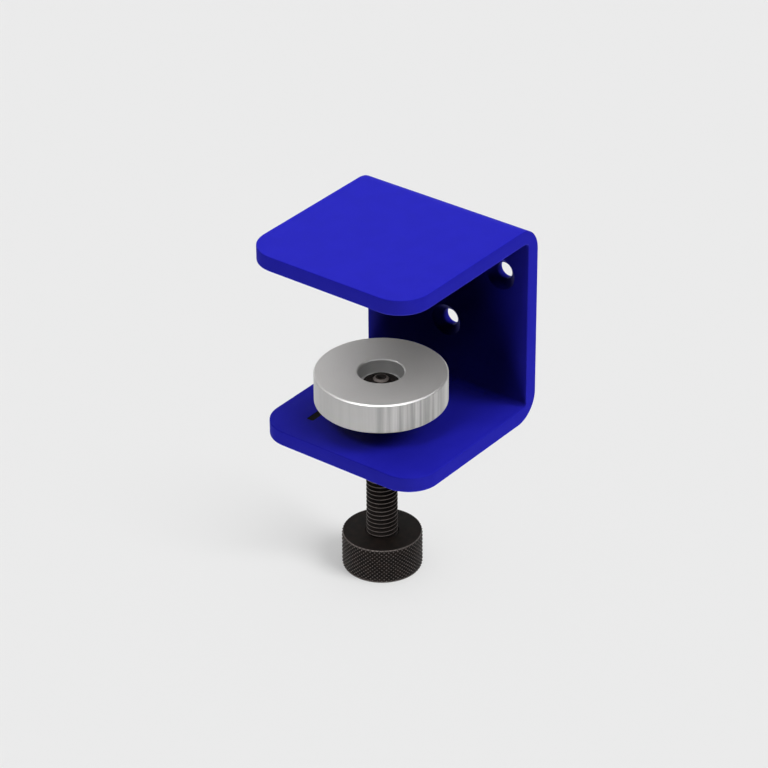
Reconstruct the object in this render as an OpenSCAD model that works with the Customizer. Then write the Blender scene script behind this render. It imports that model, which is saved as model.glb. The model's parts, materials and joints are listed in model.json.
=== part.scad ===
// Desk-edge screw clamp.
// A C-shaped bracket bent from flat plate, a round pressure pad above the
// lower jaw, and a threaded spindle with a knurled head that drives the pad
// up against whatever sits under the upper jaw.
//
// Frame: the screw axis is the Z axis. z = 0 is the gripping face (underside)
// of the upper jaw, +Z points up. The back wall lies on the +Y side and the
// mouth opens towards -Y. X runs along the width of the jaws.
// Millimetres.

/* [Bracket] */
// width of the bent plate along X
jaw_w = 62; // [58:1:80]
// thickness of the plate
plate_t = 5; // [4.5:0.5:6]
// clear height between the two jaws
throat_h = 58; // [54:1:80]
// from the screw axis to the inner face of the back wall
throat_d = 33.5; // [30:0.5:45]
// from the screw axis to the free edge of the upper jaw
upper_reach = 27.5; // [24:0.5:35]
// from the screw axis to the free edge of the lower jaw
lower_reach = 23.5; // [22:0.5:30]
// plan radius of the four free corners
corner_r = 10.5; // [6:0.5:12]
// inner radius of the two bends
bend_in = 1.5; // [1:0.5:3]
// outer radius of the two bends
bend_out = 9; // [6.5:0.5:10]

/* [Wall screw holes] */
// diameter of the three countersunk screw holes in the back wall
hole_d = 5.5; // [4.5:0.1:6]
// diameter of the countersink at the inner face of the wall
csk_d = 10.6; // [9:0.1:12]
// distance of the upper two holes from the centre plane
hole_x = 20.5; // [16:0.5:22]
// depth of the upper two holes below the gripping face
hole_up = 14; // [12:0.5:18]
// depth of the single lower hole below the gripping face
hole_low = 37.3; // [32:0.1:42]

/* [Lower jaw slot] */
// width of the narrow slot beside the screw
slot_w = 2.3; // [1.5:0.1:4]
// length of the slot along Y
slot_l = 12; // [5:0.5:16]
// distance of the slot's centre line from the screw axis, towards -X
slot_x = 18.3; // [14:0.1:22]
// distance from the screw axis to the slot's end nearest the free edge
slot_y = 12.6; // [8:0.1:14]

/* [Pad] */
// diameter of the pressure pad
pad_d = 41.5; // [34:0.5:43]
// thickness of the pad
pad_h = 10; // [9:0.5:12]
// opening between the pad and the upper jaw in the rest position
mouth = 40; // [32:0.5:42]
// diameter of the recess in the top of the pad
recess_d = 14.4; // [13:0.1:18]
// depth of the recess
recess_h = 5; // [4:0.1:5.5]
// chamfer on the pad's rims
pad_edge = 0.45; // [0.2:0.05:1]

/* [Spindle] */
// nominal thread diameter
screw_d = 10; // [8:0.5:12]
// thread pitch
pitch = 1.5; // [1.25:0.05:2]
// length of thread between the head and the pad
thread_l = 48; // [40:0.5:56]
// diameter of the journal that carries the pad
journal_d = 5; // [4.6:0.1:6]
// chamfer on the journal's end
journal_edge = 0.7; // [0.3:0.05:0.9]
// radial running clearance between moving parts
run_clear = 0.05; // [0.02:0.01:0.1]

/* [Knurled head] */
// diameter of the head over its knurl
head_d = 25.6; // [20:0.1:32]
// height of the head
head_h = 12; // [10:0.5:16]
// chamfer on the head's rims
head_edge = 0.4; // [0.3:0.05:1.2]

/* [Pad retainer] */
// diameter of the washer in the recess
washer_d = 11.5; // [10.5:0.1:12.5]
// thickness of the washer
washer_t = 1; // [0.6:0.1:1]
// outside diameter of the retaining ring
ring_d = 9.3; // [8.5:0.1:10]
// thickness of the retaining ring
ring_t = 0.7; // [0.6:0.05:0.7]
// depth of the groove that holds the retaining ring
groove_h = 0.5; // [0.4:0.05:0.6]

/* [Hidden] */
$fn = 64;
gap = 0.05;                               // axial play between stacked parts
e = 1;                                    // overrun of cutting tools
back_y = throat_d + plate_t;              // outer face of the back wall
z_low = -throat_h;                        // top face of the lower jaw
z_base = -throat_h - plate_t;             // underside of the lower jaw
z_pad = -mouth;                           // top face of the pad
z_pad0 = z_pad - pad_h;                   // underside of the pad
z_floor = z_pad - recess_h;               // floor of the recess
z_washer = z_floor + gap;                 // underside of the washer
z_ring = z_washer + washer_t + gap;       // underside of the retaining ring
z_end = z_ring + ring_t + 0.4 + journal_edge; // end of the journal
z_shoulder = z_pad0 - gap;                // shoulder of the spindle
z_head = z_pad0 - thread_l;               // top face of the head
z_foot = z_head - head_h;                 // foot of the head
bore_r = screw_d / 2;                     // threaded hole, crest circle of the screw plus clearance
screw_r = bore_r - run_clear;             // crest radius of the screw
root_r = screw_r - 0.58 * pitch;          // root radius of the screw
jr = journal_d / 2;
groove_r = jr - groove_h;
socket_h = head_h - 2.5;                  // depth of the hole in the head

// Side profile of the bent plate, drawn as (Y, Z).
module profile_solid(y0, y1, z0, z1, r) {
    translate([y0, z0]) square([y1 - r - y0, z1 - z0]);
    translate([y0, z0 + r]) square([y1 - y0, z1 - z0 - 2 * r]);
    for (z = [z0 + r, z1 - r]) translate([y1 - r, z]) circle(r = r);
}

module side_profile() {
    difference() {
        profile_solid(-upper_reach, back_y, z_base, plate_t, bend_out);
        profile_solid(-upper_reach - e, throat_d, z_low, 0, bend_in);
        translate([-upper_reach - e, z_base - e])
            square([upper_reach - lower_reach + e, plate_t + 2 * e]);
    }
}

// Waste outside the rounded free corner of a jaw, on the side s = -1 or 1.
module corner_waste(reach, s) {
    difference() {
        translate([s > 0 ? jaw_w / 2 - corner_r : -jaw_w / 2 - e, -reach - e])
            square([corner_r + e, corner_r + e]);
        translate([s * (jaw_w / 2 - corner_r), -reach + corner_r]) circle(r = corner_r);
    }
}

// Countersunk screw hole through the back wall, sunk from the inner face.
module wall_hole(x, z) {
    sink = (csk_d - hole_d) / 2;
    translate([x, throat_d - e, z]) rotate([-90, 0, 0]) {
        cylinder(d = hole_d, h = plate_t + 2 * e);
        cylinder(d = csk_d, h = e);
        translate([0, 0, e]) cylinder(d1 = csk_d, d2 = hole_d, h = sink);
    }
}

module bracket() {
    color([0.05, 0.05, 0.62]) difference() {
        rotate([90, 0, 90]) linear_extrude(height = jaw_w, center = true) side_profile();
        for (s = [-1, 1]) {
            translate([0, 0, -e]) linear_extrude(height = plate_t + 2 * e) corner_waste(upper_reach, s);
            translate([0, 0, z_base - e]) linear_extrude(height = plate_t + 2 * e) corner_waste(lower_reach, s);
        }
        // threaded hole for the spindle, with a lead-in at both faces
        translate([0, 0, z_base - e]) cylinder(r = bore_r, h = plate_t + 2 * e);
        translate([0, 0, z_base - 0.01]) cylinder(r1 = bore_r + 0.6, r2 = bore_r - 0.01, h = 0.62);
        translate([0, 0, z_low - 0.61]) cylinder(r1 = bore_r - 0.01, r2 = bore_r + 0.6, h = 0.62);
        // screw holes in the back wall
        wall_hole(hole_x, -hole_up);
        wall_hole(-hole_x, -hole_up);
        wall_hole(0, -hole_low);
        // narrow slot through the lower jaw
        translate([-slot_x - slot_w / 2, -slot_y, z_base - e]) cube([slot_w, slot_l, plate_t + 2 * e]);
    }
}

// Turned pressure pad with a recess in its top and a plain bore.
module pad() {
    r = pad_d / 2;
    rr = recess_d / 2;
    br = jr + run_clear;
    c = 0.35;
    color([0.72, 0.71, 0.71]) rotate_extrude() polygon([
        [br + 0.3, z_pad0], [r - pad_edge, z_pad0], [r, z_pad0 + pad_edge],
        [r, z_pad - pad_edge], [r - pad_edge, z_pad], [rr + c, z_pad],
        [rr, z_pad - c], [rr, z_floor], [br + 0.2, z_floor], [br, z_floor - 0.2],
        [br, z_pad0 + 0.3]]);
}

// Threaded spindle: a shank sunk in the head, the thread, the shoulder that
// pushes the pad, and the journal with its ring groove.
module spindle() {
    n = floor((thread_l - 1.6) / pitch);
    z1 = z_shoulder - 0.9;
    flank = (screw_r - root_r) * tan(30);
    crest = pitch / 8;
    color([0.13, 0.12, 0.12]) rotate_extrude() polygon(concat(
        [[0, z_head - socket_h + 0.2], [screw_r - 0.6, z_head - socket_h + 0.2],
         [screw_r, z_head - socket_h + 0.8]],
        [for (i = [n - 1:-1:0]) for (k = [0:3])
            let (z = z1 - i * pitch)
            k == 0 ? [screw_r, z - pitch + crest / 2] :
            k == 1 ? [root_r, z - pitch + crest / 2 + flank] :
            k == 2 ? [root_r, z - crest / 2 - flank] :
                     [screw_r, z - crest / 2]],
        [[screw_r, z_shoulder - 0.8], [screw_r - 0.8, z_shoulder], [jr, z_shoulder],
         [jr, z_ring - 0.03], [groove_r, z_ring - 0.03], [groove_r, z_ring + ring_t + 0.03],
         [jr, z_ring + ring_t + 0.03], [jr, z_end - journal_edge],
         [jr - journal_edge, z_end], [0, z_end]]));
}

// Cylindrical head that is turned by hand and that the clamp stands on.
// Its blind hole takes the lower end of the spindle.
module knurled_head() {
    r = head_d / 2;
    c = head_edge;
    color([0.16, 0.15, 0.14]) rotate_extrude() polygon([
        [0, z_foot], [r - c, z_foot], [r, z_foot + c], [r, z_head - c], [r - c, z_head],
        [bore_r + 0.3, z_head], [bore_r, z_head - 0.3], [bore_r, z_head - socket_h],
        [0, z_head - socket_h]]);
}

// Flat washer between the recess floor and the retaining ring.
module pad_washer() {
    r = washer_d / 2;
    c = 0.12;
    color([0.12, 0.12, 0.12]) rotate_extrude() polygon([
        [jr + run_clear, z_washer], [r - c, z_washer], [r, z_washer + c],
        [r, z_washer + washer_t - c], [r - c, z_washer + washer_t],
        [jr + run_clear, z_washer + washer_t]]);
}

// Open retaining ring that snaps into the journal's groove.
module retaining_ring() {
    gr = groove_r + 0.02;
    color([0.20, 0.20, 0.21]) translate([0, 0, z_ring]) linear_extrude(height = ring_t) difference() {
        circle(r = ring_d / 2);
        circle(r = gr);
        translate([-gr * 0.8, -ring_d]) square([gr * 1.6, ring_d]);
        for (s = [-1, 1]) translate([s * (gr + 0.45), 0.55]) circle(r = 0.75);
        translate([-ring_d, -ring_d - ring_d * 0.34]) square([2 * ring_d, ring_d]);
    }
}

bracket();
pad();
spindle();
knurled_head();
pad_washer();
retaining_ring();
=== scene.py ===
import json
import math

import bmesh
import bpy
import numpy as np
from mathutils import Matrix, Vector, geometry

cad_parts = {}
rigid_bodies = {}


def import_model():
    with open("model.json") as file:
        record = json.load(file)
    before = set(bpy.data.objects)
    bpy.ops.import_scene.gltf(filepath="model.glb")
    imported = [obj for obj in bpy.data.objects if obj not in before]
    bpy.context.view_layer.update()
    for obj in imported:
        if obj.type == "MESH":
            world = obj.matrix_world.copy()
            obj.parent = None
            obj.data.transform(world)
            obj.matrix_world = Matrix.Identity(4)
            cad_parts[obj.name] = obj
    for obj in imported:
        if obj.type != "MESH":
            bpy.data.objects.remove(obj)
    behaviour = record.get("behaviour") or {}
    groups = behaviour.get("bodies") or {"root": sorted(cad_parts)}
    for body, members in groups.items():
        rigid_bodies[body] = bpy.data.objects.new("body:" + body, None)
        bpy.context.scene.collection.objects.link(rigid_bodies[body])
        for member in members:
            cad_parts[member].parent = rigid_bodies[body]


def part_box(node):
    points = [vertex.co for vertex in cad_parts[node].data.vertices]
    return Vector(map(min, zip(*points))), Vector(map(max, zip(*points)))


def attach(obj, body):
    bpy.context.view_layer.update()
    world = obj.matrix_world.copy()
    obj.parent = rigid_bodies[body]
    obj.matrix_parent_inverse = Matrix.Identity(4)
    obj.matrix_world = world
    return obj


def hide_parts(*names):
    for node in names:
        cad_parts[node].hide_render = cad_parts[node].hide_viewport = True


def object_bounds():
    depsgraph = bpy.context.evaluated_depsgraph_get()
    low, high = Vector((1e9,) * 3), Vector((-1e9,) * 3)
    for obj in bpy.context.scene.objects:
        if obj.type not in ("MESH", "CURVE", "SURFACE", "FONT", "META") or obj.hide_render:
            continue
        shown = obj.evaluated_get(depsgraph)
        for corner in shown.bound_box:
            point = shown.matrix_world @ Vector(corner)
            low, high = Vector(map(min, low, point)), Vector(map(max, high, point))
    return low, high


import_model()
cad_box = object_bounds()
scene = bpy.context.scene
MM = 0.001
TAU = 2 * math.pi


def mm_box(node):
    lo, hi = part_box(node)
    return [c / MM for c in lo], [c / MM for c in hi]


# Main places, in millimetres, from the CAD frame.
BR0, BR1 = mm_box("bracket")
PD0, PD1 = mm_box("pad")
SP0, SP1 = mm_box("spindle")
HD0, HD1 = mm_box("knurled_head")
WS0, WS1 = mm_box("pad_washer")
RG0, RG1 = mm_box("retaining_ring")

PLATE = BR1[2]                      # plate thickness: the gripping face is z = 0
THROAT = BR1[1] - PLATE             # inner face of the wall
Z_LOW = BR0[2] + PLATE              # top face of the lower jaw
HALF_W = BR1[0]
UPPER = -BR0[1]                     # reach of the upper jaw
LOWER = 23.5                        # reach of the lower jaw
BEND_IN, BEND_OUT = 1.5, 9.0
CORNER = 10.5


# ---------------------------------------------------------------- mesh helpers
def smooth(obj, angle=None, weighted=True):
    me = obj.data
    me.polygons.foreach_set("use_smooth", [True] * len(me.polygons))
    if angle is not None:
        me.set_sharp_from_angle(angle=math.radians(angle))
    if weighted:
        w = obj.modifiers.new("weighted", "WEIGHTED_NORMAL")
        w.mode = "FACE_AREA"
        w.weight = 50
        w.keep_sharp = True


def from_bmesh(name, bm):
    me = bpy.data.meshes.new(name)
    bm.to_mesh(me)
    bm.free()
    me.update()
    obj = bpy.data.objects.new(name, me)
    scene.collection.objects.link(obj)
    return obj


def clean(bm, dist=2e-6):
    bmesh.ops.remove_doubles(bm, verts=bm.verts, dist=dist)
    bmesh.ops.dissolve_degenerate(bm, edges=bm.edges, dist=dist * 0.5)
    bmesh.ops.recalc_face_normals(bm, faces=bm.faces)


def round_profile(points, closed=True, steps=4):
    """Points are (r, z) or (r, z, fillet). Each corner with a fillet becomes a short arc."""
    out, n = [], len(points)
    for i, p in enumerate(points):
        f = p[2] if len(p) > 2 else 0.0
        if f <= 0 or (not closed and i in (0, n - 1)):
            out.append((p[0], p[1]))
            continue
        c = Vector(p[:2])
        a, b = Vector(points[i - 1][:2]) - c, Vector(points[(i + 1) % n][:2]) - c
        la, lb = a.length, b.length
        a.normalize()
        b.normalize()
        half = math.acos(max(-1.0, min(1.0, a.dot(b)))) / 2
        if half > math.pi / 2 - 0.02:
            out.append((p[0], p[1]))
            continue
        t = min(f / math.tan(half), la * 0.48, lb * 0.48)
        rad = t * math.tan(half)
        centre = c + (a + b).normalized() * (rad / math.sin(half))
        s, e = c + a * t - centre, c + b * t - centre
        a0, a1 = math.atan2(s.y, s.x), math.atan2(e.y, e.x)
        d = (a1 - a0 + math.pi) % TAU - math.pi
        for k in range(steps + 1):
            ang = a0 + d * k / steps
            out.append((centre.x + rad * math.cos(ang), centre.y + rad * math.sin(ang)))
    return out


def lathe_into(bm, profile, seg, closed=True):
    """Revolves (r, z) points in millimetres about the screw axis."""
    rings = []
    for r, z in profile:
        if r < 1e-6:
            v = bm.verts.new((0, 0, z * MM))
            rings.append([v] * seg)
        else:
            rings.append([bm.verts.new((r * math.cos(TAU * a / seg) * MM, r * math.sin(TAU * a / seg) * MM, z * MM)) for a in range(seg)])
    pairs = list(zip(rings, rings[1:] + rings[:1])) if closed else list(zip(rings, rings[1:]))
    for lo, hi in pairs:
        if lo[0] is lo[1] and hi[0] is hi[1]:
            continue
        for a in range(seg):
            b = (a + 1) % seg
            vs = []
            for v in (lo[a], lo[b], hi[b], hi[a]):
                if v not in vs:
                    vs.append(v)
            if len(vs) > 2:
                bm.faces.new(vs)


def lathe(name, profile, seg, closed=True, angle=35):
    bm = bmesh.new()
    lathe_into(bm, profile, seg, closed)
    clean(bm)
    obj = from_bmesh(name, bm)
    smooth(obj, angle)
    return obj


def inside(poly, x, y):
    hit, n = False, len(poly)
    for i in range(n):
        (x0, y0), (x1, y1) = poly[i], poly[i - 1]
        if (y0 > y) != (y1 > y) and x < (x1 - x0) * (y - y0) / (y1 - y0) + x0:
            hit = not hit
    return hit


def round_rect(x0, y0, x1, y1, r, steps):
    """Loop of (point, outward normal), counter-clockwise."""
    out = []
    for cx, cy, a0 in ((x1 - r, y1 - r, 0), (x0 + r, y1 - r, 90), (x0 + r, y0 + r, 180), (x1 - r, y0 + r, 270)):
        for k in range(steps + 1):
            a = math.radians(a0 + 90 * k / steps)
            n = (math.cos(a), math.sin(a))
            out.append(((cx + r * n[0], cy + r * n[1]), n))
    return out


def ring_loop(cx, cy, r, steps):
    """A round hole's loop: the normals point into the hole, away from the material."""
    out = []
    for k in range(steps):
        a = TAU * k / steps
        n = (math.cos(a), math.sin(a))
        out.append(((cx + r * n[0], cy + r * n[1]), (-n[0], -n[1])))
    return out


def flip(loop):
    return [(p, (-n[0], -n[1])) for p, n in loop]


def edge_profile(f, t, steps=4):
    """(inset, height) from one face to the other of a plate of thickness t with edges rounded to f."""
    lo = [(f * (1 - math.sin(math.pi / 2 * k / steps)), f * (1 - math.cos(math.pi / 2 * k / steps))) for k in range(steps + 1)]
    return lo + [(i, t - h) for i, h in reversed(lo)]


def plate_bmesh(outer, holes, t):
    """A flat slab in the (s, x) plane. outer and each of holes is (loop, profile)."""
    bm = bmesh.new()
    caps = {0: [], 1: []}
    for k, (loop, prof) in enumerate([outer] + holes):
        rings = []
        for inset, h in prof:
            rings.append([bm.verts.new((p[0] - n[0] * inset, p[1] - n[1] * inset, h)) for p, n in loop])
        m = len(loop)
        for lo, hi in zip(rings, rings[1:]):
            for a in range(m):
                b = (a + 1) % m
                bm.faces.new((lo[a], lo[b], hi[b], hi[a]))
        caps[0].append(rings[0])
        caps[1].append(rings[-1])
    for rings in caps.values():
        pts, verts, loops = [], [], []
        for r in rings:
            loops.append(list(range(len(pts), len(pts) + len(r))))
            pts += [Vector((v.co.x, v.co.y)) for v in r]
            verts += r
        edges = [(l[i - 1], l[i]) for l in loops[1:] for i in range(len(l))]
        co, _, faces, ids, _, _ = geometry.delaunay_2d_cdt(pts, edges, [loops[0]], 1, 1e-7, True)
        used = {i: verts[o[0]] for i, o in enumerate(ids) if o}
        polys = [[tuple(pts[i]) for i in l] for l in loops[1:]]
        for f in faces:
            c = sum((co[i] for i in f), Vector((0, 0))) / len(f)
            if any(inside(p, c.x, c.y) for p in polys):
                continue
            bm.faces.new([used[i] for i in f])
    return bm


# ---------------------------------------------------------------- material helpers
class Tree:
    def __init__(self, name):
        self.mat = bpy.data.materials.new(name)
        self.mat.use_nodes = True
        self.nt = self.mat.node_tree
        self.nt.nodes.clear()
        self.out = self.node("ShaderNodeOutputMaterial")
        self.coord = self.node("ShaderNodeTexCoord").outputs["Object"]

    def node(self, kind, ins=None, **props):
        n = self.nt.nodes.new(kind)
        for k, v in props.items():
            setattr(n, k, v)
        for k, v in (ins or {}).items():
            self.set(n.inputs[k], v)
        return n

    def set(self, sock, v):
        if hasattr(v, "is_linked") and hasattr(v, "node"):
            self.nt.links.new(v, sock)
        else:
            sock.default_value = v

    def math(self, op, a, b=0.0, c=None, clamp=False):
        ins = {0: a, 1: b}
        if c is not None:
            ins[2] = c
        return self.node("ShaderNodeMath", ins, operation=op, use_clamp=clamp).outputs[0]

    def remap(self, v, a0, a1, b0=0.0, b1=1.0, kind="SMOOTHSTEP"):
        n = self.node("ShaderNodeMapRange", {"Value": v, "From Min": a0, "From Max": a1, "To Min": b0, "To Max": b1})
        n.interpolation_type = kind
        return n.outputs["Result"]

    def noise(self, vec, scale, detail=2.0, rough=0.5):
        return self.node("ShaderNodeTexNoise", {"Vector": vec, "Scale": scale, "Detail": detail, "Roughness": rough}).outputs["Fac"]

    def mix(self, fac, a, b):
        n = self.node("ShaderNodeMix", data_type="RGBA")
        self.set(n.inputs[0], fac)
        self.set(n.inputs[6], a)
        self.set(n.inputs[7], b)
        return n.outputs[2]

    def radius(self):
        """(distance from the screw axis, height), both in metres."""
        s = self.node("ShaderNodeSeparateXYZ", {0: self.coord})
        x, y, z = s.outputs
        return self.math("SQRT", self.math("ADD", self.math("MULTIPLY", x, x), self.math("MULTIPLY", y, y))), z, x, y

    def bump(self, height, strength, distance, normal=None):
        n = self.node("ShaderNodeBump", {"Height": height, "Strength": strength, "Distance": distance})
        if normal is not None:
            self.set(n.inputs["Normal"], normal)
        return n.outputs["Normal"]

    def done(self, shader):
        self.nt.links.new(shader, self.out.inputs["Surface"])
        return self.mat


def rgb(r, g, b):
    return (r, g, b, 1.0)


def powder_coat():
    t = Tree("powder_coat_blue")
    broad = t.noise(t.coord, 160.0, 3.0)
    peel = t.noise(t.coord, 1500.0, 2.0, 0.55)
    grain = t.noise(t.coord, 5200.0, 2.0, 0.6)
    col = t.mix(t.remap(broad, 0.3, 0.7), rgb(0.0166, 0.0158, 0.474), rgb(0.0184, 0.0176, 0.498))
    col = t.mix(t.remap(grain, 0.62, 0.80, 0.0, 0.35), col, rgb(0.018, 0.018, 0.56))
    # painted shade: the sides of the slot are painted near black, standing in for the shade inside the narrow slot
    r, z, x, y = t.radius()
    beside = t.remap(t.math("ABSOLUTE", t.math("ADD", x, 18.3 * MM)), 1.30 * MM, 1.22 * MM)
    along = t.remap(t.math("ABSOLUTE", t.math("ADD", y, 6.6 * MM)), 6.15 * MM, 6.07 * MM)
    below = t.math("MULTIPLY", t.remap(z, (Z_LOW - 0.03) * MM, (Z_LOW - 0.10) * MM), t.remap(z, (Z_LOW - PLATE + 0.03) * MM, (Z_LOW - PLATE + 0.10) * MM))
    slot_shade = t.math("MULTIPLY", t.math("MULTIPLY", beside, along), below)
    # painted shade: near-black colour inside the slot
    col = t.mix(slot_shade, col, rgb(0.0012, 0.0012, 0.0014))
    n = t.bump(peel, 0.16, 0.00006)
    n = t.bump(grain, 0.10, 0.00002, n)
    p = t.node("ShaderNodeBsdfPrincipled", {
        "Base Color": col, "Metallic": 0.0,
        "Roughness": t.math("ADD", t.math("MULTIPLY", broad, 0.10), 0.58),
        "Specular IOR Level": 0.05, "Normal": n})
    return t.done(p.outputs[0])


def turned_steel():
    t = Tree("turned_steel")
    r, z, x, y = t.radius()
    path = t.node("ShaderNodeCombineXYZ", {0: r, 1: z, 2: 0.0}).outputs[0]
    fine = t.noise(path, 7000.0, 3.0, 0.6)
    coarse = t.noise(path, 1400.0, 2.0)
    smear = t.noise(t.coord, 120.0, 2.0)
    grit = t.noise(t.coord, 5200.0, 3.0, 0.6)
    angle = t.math("ARCTAN2", y, x)
    # polishing streaks that run up the rim; towards +x their contrast grows, and there the light bands are painted
    # reflections
    up_rim = t.node("ShaderNodeCombineXYZ", {0: x, 1: y, 2: t.math("MULTIPLY", z, 0.02)}).outputs[0]
    streak_and_reflection = t.noise(up_rim, 360.0, 4.0, 0.72)
    on_rim = t.remap(r, (PD1[0] - 0.6) * MM, (PD1[0] - 0.2) * MM)
    # painted reflection: the streaks are made much stronger on the +x side
    reflection_side = t.remap(x, 9.0 * MM, 16.0 * MM, 0.16, 1.15)
    streak_and_reflection = t.math("ADD", 0.5, t.math("MULTIPLY", t.math("SUBTRACT", streak_and_reflection, 0.5), reflection_side))
    col = t.mix(t.remap(fine, 0.35, 0.65), rgb(0.545, 0.532, 0.527), rgb(0.62, 0.606, 0.600))
    col = t.mix(t.remap(smear, 0.35, 0.75, 0.0, 0.18), col, rgb(0.51, 0.495, 0.488))
    lined_and_reflected = t.mix(t.remap(streak_and_reflection, 0.36, 0.66), rgb(0.36, 0.356, 0.353), rgb(0.60, 0.594, 0.588))
    col = t.mix(on_rim, col, lined_and_reflected)
    # the broken edges are burnished, with lower roughness; their colour, brighter than the faces, is partly a painted
    # highlight along the rims
    z_mid, half = (PD0[2] + PD1[2]) / 2 * MM, (PD1[2] - PD0[2]) / 2 * MM
    to_face = t.math("ABSOLUTE", t.math("SUBTRACT", z, z_mid))
    near_face = t.remap(to_face, half - 0.50 * MM, half - 0.36 * MM)
    outer_edge = t.math("MULTIPLY", near_face, t.remap(r, (PD1[0] - 0.50) * MM, (PD1[0] - 0.38) * MM))
    inner_edge = t.math("MULTIPLY", near_face, t.remap(r, 7.62 * MM, 7.50 * MM))
    edge = t.math("MAXIMUM", outer_edge, inner_edge)
    in_recess = t.math("MULTIPLY", t.remap(r, 7.32 * MM, 7.24 * MM), t.math("SUBTRACT", 1.0, inner_edge))
    scratch = t.noise(t.node("ShaderNodeCombineXYZ", {0: t.math("MULTIPLY", angle, 0.0018), 1: z, 2: 0.0}).outputs[0], 3400.0, 4.0, 0.7)
    col = t.mix(t.math("MULTIPLY", in_recess, t.remap(scratch, 0.35, 0.68)), col, rgb(0.58, 0.59, 0.585))
    # painted highlight, in part: lighter colour on the rim edges
    col = t.mix(edge, col, rgb(0.61, 0.60, 0.595))
    n = t.bump(fine, 0.16, 0.00001)
    n = t.bump(coarse, 0.08, 0.00001, n)
    n = t.bump(grit, 0.10, 0.000008, n)
    n = t.bump(t.math("MULTIPLY", scratch, in_recess), 0.35, 0.00003, n)
    rough_top = t.math("ADD", t.math("MULTIPLY", coarse, 0.10), 0.47)
    rough_rim = t.math("ADD", t.math("MULTIPLY", streak_and_reflection, 0.16), 0.24)
    rough = t.math("ADD", t.math("MULTIPLY", rough_top, t.math("SUBTRACT", 1.0, on_rim)), t.math("MULTIPLY", rough_rim, on_rim))
    rough = t.math("ADD", t.math("MULTIPLY", rough, t.math("SUBTRACT", 1.0, edge)), t.math("MULTIPLY", 0.38, edge))
    p = t.node("ShaderNodeBsdfPrincipled", {
        "Base Color": col, "Metallic": t.math("ADD", 0.55, t.math("MULTIPLY", on_rim, 0.20)),
        "Roughness": rough, "Specular IOR Level": 0.5, "Normal": n})
    return t.done(p.outputs[0])


def black_oxide(name, wear_and_highlight_from, wear_and_highlight_to, wear_and_highlight_strength=0.8, wear_and_highlight_tone=0.115, rims=None, tip=None):
    """Blackened steel. Between the two radii given first, in millimetres, the surface is made lighter: wear on the
    knurl crests, a painted highlight on the thread crests, a lighter outer edge on the washer and ring.
    """
    t = Tree(name)
    r, z, x, y = t.radius()
    path = t.node("ShaderNodeCombineXYZ", {0: r, 1: z, 2: 0.0}).outputs[0]
    turned = t.noise(path, 7000.0, 3.0, 0.6)
    patchy = t.noise(t.coord, 420.0, 4.0, 0.6)
    grit = t.noise(t.coord, 6500.0, 2.0, 0.6)
    col = t.mix(t.remap(patchy, 0.3, 0.72), rgb(0.0034, 0.0025, 0.0022), rgb(0.0140, 0.0092, 0.0074))
    wear_and_highlight = t.remap(r, wear_and_highlight_from * MM, wear_and_highlight_to * MM)
    if rims:                             # painted highlight: the two rim chamfers are made lighter along their outer edge
        r_rim, low, high = rims
        far = t.math("MAXIMUM", t.remap(z, (high - 0.62) * MM, (high - 0.36) * MM), t.remap(z, (low + 0.62) * MM, (low + 0.36) * MM))
        rim = t.math("MULTIPLY", far, t.remap(r, (r_rim - 0.10) * MM, (r_rim + 0.08) * MM))
        wear_and_highlight = t.math("MAXIMUM", wear_and_highlight, t.math("MULTIPLY", rim, 0.8))
    if tip:                              # painted highlight: the turned end of the journal is made lighter on its chamfer
        bright = t.math("MULTIPLY", t.remap(z, (tip - 0.72) * MM, (tip - 0.55) * MM), t.remap(r, 1.55 * MM, 1.90 * MM))
        wear_and_highlight = t.math("MAXIMUM", wear_and_highlight, t.math("MULTIPLY", bright, 0.5))
    wear_and_highlight_mask = t.math("MULTIPLY", t.math("MULTIPLY", wear_and_highlight, wear_and_highlight_strength), t.remap(grit, 0.30, 0.62, 0.45, 1.0))
    # lighter colour: wear on the knurl crests, and a painted highlight on the thread crests, rim chamfers and journal
    # end
    col = t.mix(wear_and_highlight_mask, col, rgb(wear_and_highlight_tone, wear_and_highlight_tone * 0.86, wear_and_highlight_tone * 0.80))
    n = t.bump(turned, 0.22, 0.000014)
    n = t.bump(grit, 0.22, 0.000012, n)
    p = t.node("ShaderNodeBsdfPrincipled", {
        "Base Color": col, "Metallic": t.math("MULTIPLY", wear_and_highlight_mask, 0.7),
        "Roughness": t.math("ADD", t.math("MULTIPLY", patchy, 0.16), t.remap(wear_and_highlight, 0.0, 1.0, 0.50, 0.34, "LINEAR")),
        "Specular IOR Level": t.remap(wear_and_highlight, 0.0, 1.0, 0.16, 0.50, "LINEAR"), "Normal": n})
    return t.done(p.outputs[0])


def floor_paint():
    t = Tree("studio_floor")
    d = t.node("ShaderNodeBsdfDiffuse", {"Color": rgb(0.83, 0.83, 0.83)})
    e = t.node("ShaderNodeEmission", {"Color": rgb(1, 1, 1), "Strength": 0.83})
    m = t.node("ShaderNodeMixShader", {0: 0.42, 1: d.outputs[0], 2: e.outputs[0]})
    return t.done(m.outputs[0])


BLUE = powder_coat()
STEEL = turned_steel()
# the head gets wear on its knurl crests and a painted highlight on its rim chamfers; the screw gets a painted
# highlight on its thread crests and journal chamfer
BLACK_HEAD = black_oxide("black_oxide_head", 12.60, 12.79, 1.0, 0.20, (HD1[0] - 0.42, HD0[2], HD1[2]))
BLACK_SCREW = black_oxide("black_oxide_screw", 4.84, 4.99, 1.0, 0.34, None, SP1[2])
BLACK_WASHER = black_oxide("black_oxide_washer", 5.60, 5.75, 0.15)
BLACK_RING = black_oxide("phosphate_ring", 4.50, 4.65, 0.4)


def finish_piece(obj, mat, body, node):
    obj.data.materials.clear()
    obj.data.materials.append(mat)
    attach(obj, body)
    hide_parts(node)


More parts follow.
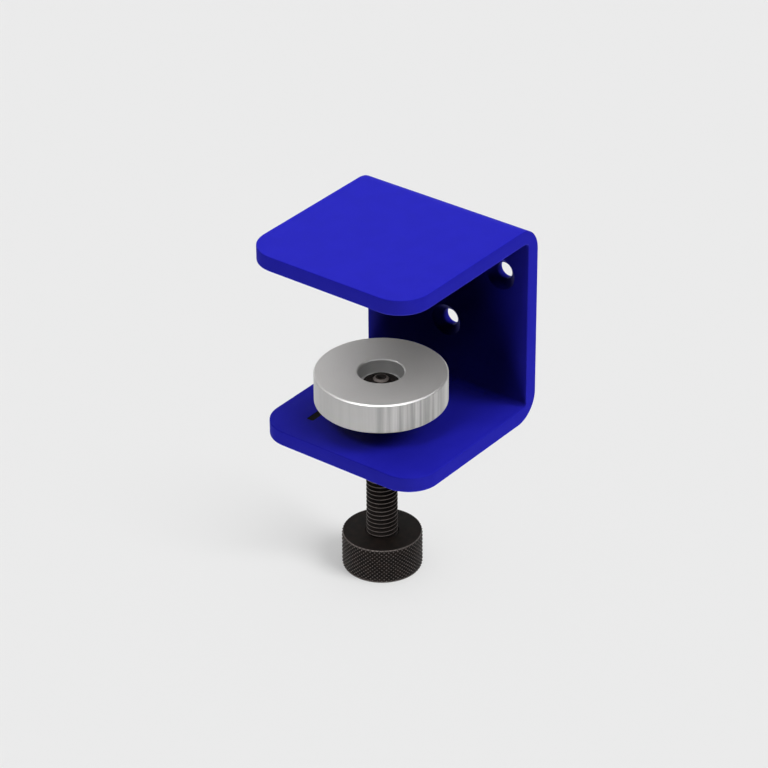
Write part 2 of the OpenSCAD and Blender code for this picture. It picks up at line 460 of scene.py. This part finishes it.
# ---------------------------------------------------------------- bracket
def build_bracket():
    """The plate is made flat, cut across where it bends, and then bent."""
    a1 = UPPER + BR1[1] - BEND_OUT                 # flat of the upper jaw
    fold = 10.0
    wall = -Z_LOW + 2 * PLATE - 2 * BEND_OUT       # flat of the wall
    a2 = a1 + fold
    a3 = a2 + wall
    a4 = a3 + fold
    a5 = a4 + BR1[1] - BEND_OUT + LOWER
    y_b = BR1[1] - BEND_OUT                        # where the outer bend starts
    z_b = PLATE - BEND_OUT

    def s_wall(z):
        return a2 + (z_b - z)

    def s_low(y):
        return a4 + (y_b - y)

    outer = (round_rect(0, -HALF_W, a5, HALF_W, CORNER, 22), edge_profile(0.28, PLATE))
    sunk = [(2.55 + 0.22, 0.0), (2.55 + 0.07, 0.03), (2.55 - 0.06, 0.12), (0.10, 2.42), (0.03, 2.52), (0.0, 2.68), (0.0, PLATE - 0.30), (0.09, PLATE - 0.09), (0.30, PLATE)]
    holes = [
        (ring_loop(s_wall(-14.0), 20.5, 2.75, 56), sunk),
        (ring_loop(s_wall(-14.0), -20.5, 2.75, 56), sunk),
        (ring_loop(s_wall(-37.3), 0.0, 2.75, 56), sunk),
        (ring_loop(s_low(0.0), 0.0, 5.0, 72), [(0.68, 0.0), (0.58, 0.03), (0.05, 0.55), (0.0, 0.66), (0.0, PLATE - 0.66), (0.05, PLATE - 0.55), (0.58, PLATE - 0.03), (0.68, PLATE)]),
        (flip(round_rect(s_low(-0.6), -19.45, s_low(-12.6), -17.15, 0.35, 5)), edge_profile(0.22, PLATE, 3)),
    ]
    bm = plate_bmesh(outer, holes, PLATE)
    n_cut = 36
    cuts = [s0 + fold * k / n_cut for s0 in (a1, a3) for k in range(n_cut + 1)]
    cuts += [0.25 * a1, 0.5 * a1, 0.75 * a1, a2 + wall * 0.5]
    for s in sorted(cuts):
        bmesh.ops.bisect_plane(bm, geom=bm.verts[:] + bm.edges[:] + bm.faces[:], dist=1e-5, plane_co=(s, 0, 0), plane_no=(1, 0, 0))

    def bend(u):
        """Points on the inner and outer face of the upper bend, as (y, z), for u from 0 to 1."""
        flat = BEND_OUT - PLATE - BEND_IN
        if u < 0.25:
            pi = (y_b + flat * u / 0.25, 0.0)
        elif u > 0.75:
            pi = (THROAT, -BEND_IN - flat * (u - 0.75) / 0.25)
        else:
            a = math.pi / 2 * (u - 0.25) / 0.5
            pi = (THROAT - BEND_IN + BEND_IN * math.sin(a), -BEND_IN + BEND_IN * math.cos(a))
        a = math.pi / 2 * u
        po = (y_b + BEND_OUT * math.sin(a), z_b + BEND_OUT * math.cos(a))
        return pi, po

    for v in bm.verts:
        s, x, t = v.co
        if s <= a1:
            y, z = -UPPER + s, t
        elif s < a2:
            pi, po = bend((s - a1) / fold)
            k = t / PLATE
            y, z = pi[0] + (po[0] - pi[0]) * k, pi[1] + (po[1] - pi[1]) * k
        elif s <= a3:
            y, z = THROAT + t, z_b - (s - a2)
        elif s < a4:
            pi, po = bend(1 - (s - a3) / fold)
            k = t / PLATE
            y, z = pi[0] + (po[0] - pi[0]) * k, Z_LOW - (pi[1] + (po[1] - pi[1]) * k)
        else:
            y, z = y_b - (s - a4), Z_LOW - t
        v.co = (x * MM, y * MM, z * MM)
    clean(bm, 1e-7)
    obj = from_bmesh("bent_bracket", bm)
    smooth(obj, 50)
    finish_piece(obj, BLUE, "bracket", "bracket")
    return obj


# ---------------------------------------------------------------- pad, washer, ring
def build_pad():
    r, z0, z1 = PD1[0], PD0[2], PD1[2]
    c, zf, br, rr = 0.45, z1 - 5.0, 2.55, 7.2
    prof = round_profile([
        (br + 0.3, z0, 0.05), (r - c, z0, 0.10), (r, z0 + c, 0.10), (r, z1 - c, 0.10), (r - c, z1, 0.10),
        (rr + 0.35, z1, 0.08), (rr, z1 - 0.35, 0.08), (rr, zf, 0.35), (br + 0.2, zf, 0.05), (br, zf - 0.2, 0.05), (br, z0 + 0.3, 0.05)], True, 3)
    obj = lathe("pressure_pad", prof, 256, True, 60)
    finish_piece(obj, STEEL, "pad", "pad")


def build_washer():
    r, z0, z1 = WS1[0], WS0[2], WS1[2]
    prof = round_profile([(2.56, z0, 0.05), (r, z0, 0.12), (r, z1, 0.14), (2.56, z1, 0.06)], True, 4)
    obj = lathe("recess_washer", prof, 128, True, 60)
    finish_piece(obj, BLACK_WASHER, "carrier", "pad_washer")


def build_ring():
    """Open snap ring: three prongs on the groove, relieved between them."""
    z0, z1 = RG0[2], RG1[2]
    r_out, r_in, r_rel = RG1[0] - 0.01, 2.05, 3.05
    a0, a1 = math.radians(-40), math.radians(220)

    def inner(a):
        d = abs(math.degrees(a) - 90)
        if d < 22 or d > 104:
            return r_in
        if d < 34:
            return r_in + (r_rel - r_in) * (0.5 - 0.5 * math.cos(math.pi * (d - 22) / 12))
        if d > 92:
            return r_in + (r_rel - r_in) * (0.5 + 0.5 * math.cos(math.pi * (d - 92) / 12))
        return r_rel

    n = 96
    pts = [(r_out * math.cos(a0 + (a1 - a0) * k / n), r_out * math.sin(a0 + (a1 - a0) * k / n)) for k in range(n + 1)]
    b0, b1 = math.radians(-28), math.radians(208)
    pts += [(inner(a) * math.cos(a), inner(a) * math.sin(a)) for a in (b1 + (b0 - b1) * k / n for k in range(n + 1))]
    m = len(pts)
    loop = []
    for i in range(m):
        p, q = pts[i - 1], pts[(i + 1) % m]
        tx, ty = q[0] - p[0], q[1] - p[1]
        ln = math.hypot(tx, ty)
        loop.append((pts[i], (ty / ln, -tx / ln)))
    bm = plate_bmesh((loop, edge_profile(0.06, z1 - z0, 2)), [], z1 - z0)
    for v in bm.verts:
        v.co = (v.co.x * MM, v.co.y * MM, (v.co.z + z0) * MM)
    clean(bm, 1e-7)
    obj = from_bmesh("snap_ring", bm)
    smooth(obj, 40)
    finish_piece(obj, BLACK_RING, "screw", "retaining_ring")


# ---------------------------------------------------------------- spindle
def build_spindle():
    """A right-hand M10 x 1.5 thread cut as a true helix, running out inside the head."""
    z_sh = PD0[2] - 0.05                 # shoulder under the pad
    z_head = HD1[2]
    zt, zb = z_sh, z_head - 2.2
    rad, depth, pitch = SP1[0], 0.87, 1.5
    n = 84
    phis = [0.0, 0.035, 0.058, 0.075, 0.12, 0.19, 0.26, 0.33, 0.372, 0.41, 0.455, 0.50,
            0.545, 0.59, 0.628, 0.67, 0.74, 0.81, 0.88, 0.925, 0.942, 0.965]
    kk = len(phis)

    def cut(phi):
        d = min(phi, 1 - phi)            # distance from the crest's middle, in pitches
        if d < 0.035:
            return 0.0
        if d < 0.075:
            return 0.045 * ((d - 0.035) / 0.04) ** 1.6
        if d < 0.372:
            return 0.045 + 0.885 * (d - 0.075) / 0.297
        q = min(1.0, (d - 0.372) / 0.128)
        return 0.93 + 0.07 * math.sin(q * math.pi / 2)

    z_start = zb - pitch * 1.02
    turns = int(math.ceil((zt - z_start) / pitch)) + 1
    jmax = turns * kk
    bm = bmesh.new()
    cols = []
    for a in range(n):
        col = []
        ca, sa = math.cos(TAU * a / n), math.sin(TAU * a / n)
        for j in range(jmax + 1):
            phi = phis[j % kk]
            z = z_start + pitch * (j // kk + phi + a / n)
            zc = min(max(z, zb), zt)
            fade = min(1.0, max(0.0, (zc - zb) / 1.4))
            fade = fade * fade * (3 - 2 * fade)
            ph = phi if zc == z else ((zc - z_start) / pitch - a / n) % 1.0
            r = rad - depth * cut(ph) * fade
            r = min(r, rad - 0.90 + max(0.0, (zt - zc)))      # 45 degree lead chamfer under the shoulder
            col.append(bm.verts.new((r * ca * MM, r * sa * MM, zc * MM)))
        cols.append(col)
    for a in range(n):
        nxt = cols[(a + 1) % n]
        off = kk if a == n - 1 else 0
        for j in range(jmax):
            j0, j1 = min(j + off, jmax), min(j + 1 + off, jmax)
            vs = []
            for v in (cols[a][j], nxt[j0], nxt[j1], cols[a][j + 1]):
                if all((v.co - w.co).length > 1e-9 for w in vs):
                    vs.append(v)
            if len(vs) > 2:
                try:
                    bm.faces.new(vs)
                except ValueError:
                    pass
    # shank inside the head, and the journal with its ring groove and chamfered end
    lathe_into(bm, round_profile([(0, SP0[2]), (rad - 0.6, SP0[2], 0.1), (rad, SP0[2] + 0.6, 0.1), (rad, zb)], False, 3), n, False)
    gz0, gz1, ze = RG0[2] - 0.03, RG1[2] + 0.03, SP1[2]
    lathe_into(bm, round_profile([
        (rad - 0.90, zt), (2.5, zt, 0.15), (2.5, gz0, 0.04), (2.0, gz0, 0.05), (2.0, gz1, 0.05), (2.5, gz1, 0.04),
        (2.5, ze - 0.62, 0.08), (1.88, ze, 0.08), (1.15, ze, 0.06), (0.85, ze - 0.42, 0.08), (0.0, ze - 0.80)], False, 4), n, False)
    clean(bm)
    obj = from_bmesh("threaded_spindle", bm)
    smooth(obj, 38)
    finish_piece(obj, BLACK_SCREW, "screw", "spindle")


# ---------------------------------------------------------------- knurled head
def build_head():
    """Diamond knurl from two crossing sets of V grooves, clipped by the rim chamfers."""
    r_out, z0, z1 = HD1[0], HD0[2], HD1[2]
    edge, depth = 0.42, 0.46
    around, sub, row = 54, 10, 0.14
    n = around * sub
    rows = int((z1 - z0) / row)
    zs = [z0 + row * j for j in range(rows + 1)]
    if z1 - zs[-1] > 1e-6:
        zs.append(z1)
    bm = bmesh.new()
    grid = []
    for j, z in enumerate(zs):
        ring = []
        cone = r_out - edge + min(z - z0, z1 - z)
        for i in range(n):
            jj = (z - z0) / row
            v1 = abs(((i + jj) / sub) % 1.0 - 0.5) * 2
            v2 = abs(((i - jj) / sub) % 1.0 - 0.5) * 2
            g = max(v1, v2)
            g = max(0.0, (g - 0.10) / 0.90)
            r = min(r_out - depth * g, cone)
            a = TAU * i / n
            ring.append(bm.verts.new((r * math.cos(a) * MM, r * math.sin(a) * MM, z * MM)))
        grid.append(ring)
    for j in range(len(zs) - 1):
        for i in range(n):
            i2 = (i + 1) % n
            a, b, c, d = grid[j][i], grid[j][i2], grid[j + 1][i2], grid[j + 1][i]
            if (i - j) % sub == 0:
                bm.faces.new((a, b, c))
                bm.faces.new((a, c, d))
            else:
                bm.faces.new((a, b, d))
                bm.faces.new((b, c, d))
    rc = r_out - edge
    lathe_into(bm, round_profile([
        (rc, z1), (rc - 0.6, z1), (5.35, z1, 0.08), (5.05, z1 - 0.3, 0.05), (5.0, z1 - 9.5, 0.2), (0.0, z1 - 9.5)], False, 3), n, False)
    lathe_into(bm, round_profile([
        (rc, z0), (rc - 0.6, z0), (1.35, z0, 0.06), (0.95, z0 + 0.55, 0.08), (0.0, z0 + 0.95)], False, 3), n, False)
    clean(bm)
    obj = from_bmesh("knurled_knob", bm)
    smooth(obj, 24)
    finish_piece(obj, BLACK_HEAD, "screw", "knurled_head")


build_bracket()
build_pad()
build_washer()
build_ring()
build_spindle()
build_head()


# ---------------------------------------------------------------- studio
def build_floor():
    """A round studio floor that curves up far from the object."""
    z = cad_box[0][2] - 0.00003
    bm = bmesh.new()
    prof = [(0.0, z), (0.5, z), (1.5, z)]
    prof += [(1.5 + 1.5 * math.sin(math.radians(a)), z + 0.9 * (1 - math.cos(math.radians(a)))) for a in range(5, 66, 5)]
    seg = 96
    rings = []
    for r, h in prof:
        rings.append([bm.verts.new((r * math.cos(TAU * a / seg), r * math.sin(TAU * a / seg), h)) for a in range(seg if r else 1)])
    for lo, hi in zip(rings, rings[1:]):
        for a in range(seg):
            b = (a + 1) % seg
            bm.faces.new((lo[0], hi[a], hi[b]) if len(lo) == 1 else (lo[a], hi[a], hi[b], lo[b]))
    obj = from_bmesh("studio_floor", bm)
    obj.data.polygons.foreach_set("use_smooth", [True] * len(obj.data.polygons))
    obj.data.materials.append(floor_paint())
    obj.visible_shadow = False
    obj.visible_diffuse = False
    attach(obj, "carrier")              # the clamp stands on its head, so the floor keeps to the foot as the screw travels


def sun(name, direction, energy, angle, color=(1, 1, 1)):
    l = bpy.data.lights.new(name, "SUN")
    l.energy, l.angle, l.color = energy, math.radians(angle), color
    l.cycles.use_multiple_importance_sampling = False
    o = bpy.data.objects.new(name, l)
    d = Vector(direction).normalized()
    o.matrix_world = Matrix.Translation(d * 1.0) @ d.to_track_quat("Z", "Y").to_matrix().to_4x4()
    scene.collection.objects.link(o)


def linked(name, names):
    c = bpy.data.collections.new(name)
    for n in names:
        c.objects.link(bpy.data.objects[n])
    return c


def lamp(name, az, el, energy, angle, names=None, shades=None, color=(1, 1, 1)):
    """A broad, far softbox as a sun of wide angle, seen from the object at that azimuth and elevation.
    names are the objects it lights and shades those that cast its shadow; without them it is all of them."""
    a, e = math.radians(az), math.radians(el)
    sun(name, (math.sin(a) * math.cos(e), -math.cos(a) * math.cos(e), math.sin(e)), energy, angle, color)
    link = bpy.data.objects[name].light_linking
    if names:
        link.receiver_collection = linked(name + "_lights", names)
    if shades:
        link.blocker_collection = linked(name + "_shades", shades)


PAINTED = ["bent_bracket"]
METAL = ["pressure_pad", "recess_washer", "snap_ring", "threaded_spindle", "knurled_knob"]
OBJECT = PAINTED + METAL
build_floor()
for piece in OBJECT:
    bpy.data.objects[piece].visible_diffuse = False
bpy.data.objects["bent_bracket"].visible_glossy = False
LAMPS = [
    ("floor_key", 98, 45, 2.394, 34, ["studio_floor"], ["knurled_knob", "threaded_spindle"]),
    ("floor_fill", 0, 90, 1.45, 160, ["studio_floor"], ["knurled_knob", "threaded_spindle"]),
    ("paint_front", 0, 53, 0.76, 18, PAINTED),
    ("paint_right", 112, 42, 1.04, 26, PAINTED),
    ("paint_right_low", 116, 25, 0.35, 24, PAINTED),
    ("paint_right_front", 66, 58, 0.28, 18, PAINTED),
    ("paint_top", 0, 90, 1.50, 30, PAINTED),
    ("paint_back", 235, 15, 0.5, 40, PAINTED),
    ("paint_floor_bounce", 0, -90, 9.0, 62, PAINTED),
    ("metal_top", 0, 90, 3.05, 120, METAL),
    ("metal_left", -100, 20, 0.10, 40, METAL),
    ("metal_front", 0, 60, 0.85, 24, METAL),
    ("metal_front_low", 0, 30, 0.25, 30, METAL),
    ("metal_right", 60, 50, 0.60, 30, METAL),
    ("metal_right_high", 85, 62, 0.40, 24, METAL),
    ("metal_floor_bounce", 0, -90, 1.0, 110, METAL),
]
for row in LAMPS:
    lamp(*row)

world = bpy.data.worlds.new("studio")
world.use_nodes = True
world.node_tree.nodes["Background"].inputs[0].default_value = (1, 1, 1, 1)
world.node_tree.nodes["Background"].inputs[1].default_value = 0.05
world.cycles_visibility.diffuse = False
scene.world = world
scene.view_settings.view_transform = "Standard"
scene.view_settings.look = "None"
scene.view_settings.exposure = 0.0
scene.view_settings.gamma = 1.0

# ---------------------------------------------------------------- camera
AZ, EL, ROLL = math.radians(37.6281), math.radians(30.7750), math.radians(-0.4234)
back = Vector((math.sin(AZ) * math.cos(EL), -math.cos(AZ) * math.cos(EL), math.sin(EL)))
right = Vector((math.cos(AZ), math.sin(AZ), 0))
up = Vector((-math.sin(EL) * math.sin(AZ), math.sin(EL) * math.cos(AZ), math.cos(EL)))
target = (Vector((0, 0, -48.0)) + 0.8924 * right + 2.8316 * up) * MM
rr = math.cos(ROLL) * right + math.sin(ROLL) * up
uu = -math.sin(ROLL) * right + math.cos(ROLL) * up
place = target + back * 1.008889
cam = bpy.data.cameras.new("camera")
cam.sensor_fit = "HORIZONTAL"
cam.sensor_width = 36.0
cam.lens = 36.0 * 3278.54 / 768
cam.clip_start, cam.clip_end = 0.05, 50.0
cam_obj = bpy.data.objects.new("camera", cam)
rot = Matrix((rr, uu, back)).transposed().to_4x4()
cam_obj.matrix_world = Matrix.Translation(place) @ rot
scene.collection.objects.link(cam_obj)
scene.camera = cam_obj
